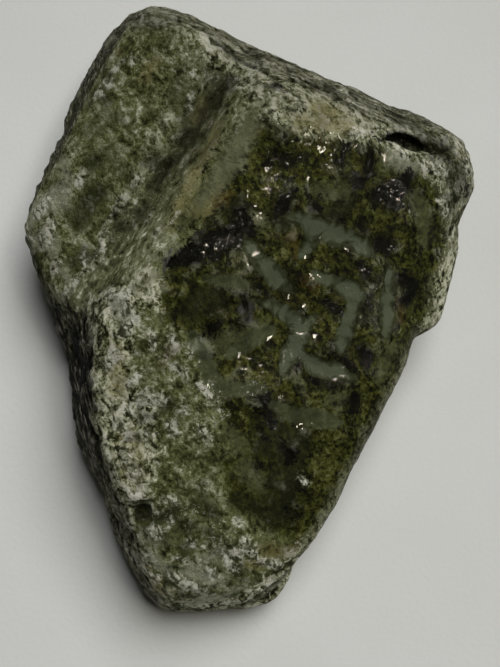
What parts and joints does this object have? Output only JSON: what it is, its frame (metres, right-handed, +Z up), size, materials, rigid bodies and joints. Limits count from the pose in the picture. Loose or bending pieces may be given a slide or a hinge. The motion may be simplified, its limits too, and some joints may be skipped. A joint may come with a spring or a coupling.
{
  "type": "raw jade boulder",
  "caption": "Hand-size raw jade boulder, a flattened tapering stone with a side lobe across a valley, resting on its flattest face.",
  "frame": {"origin": "on the flat resting face, under the middle of the stone's outline seen from above", "axes": "+Y along the stone from its narrow tip to its broad back, +X across it towards the end with the broken tab, +Z up out of the broad face"},
  "size_m": [0.09, 0.121, 0.042],
  "materials": {
    "jade": "wet olive-green jade on the broad face, grey-white granular crust on the shoulders and back, dark foliated rock on the long left side"
  },
  "bodies": {
    "root": {"jade_boulder": "jade"}
  },
  "joints": []
}
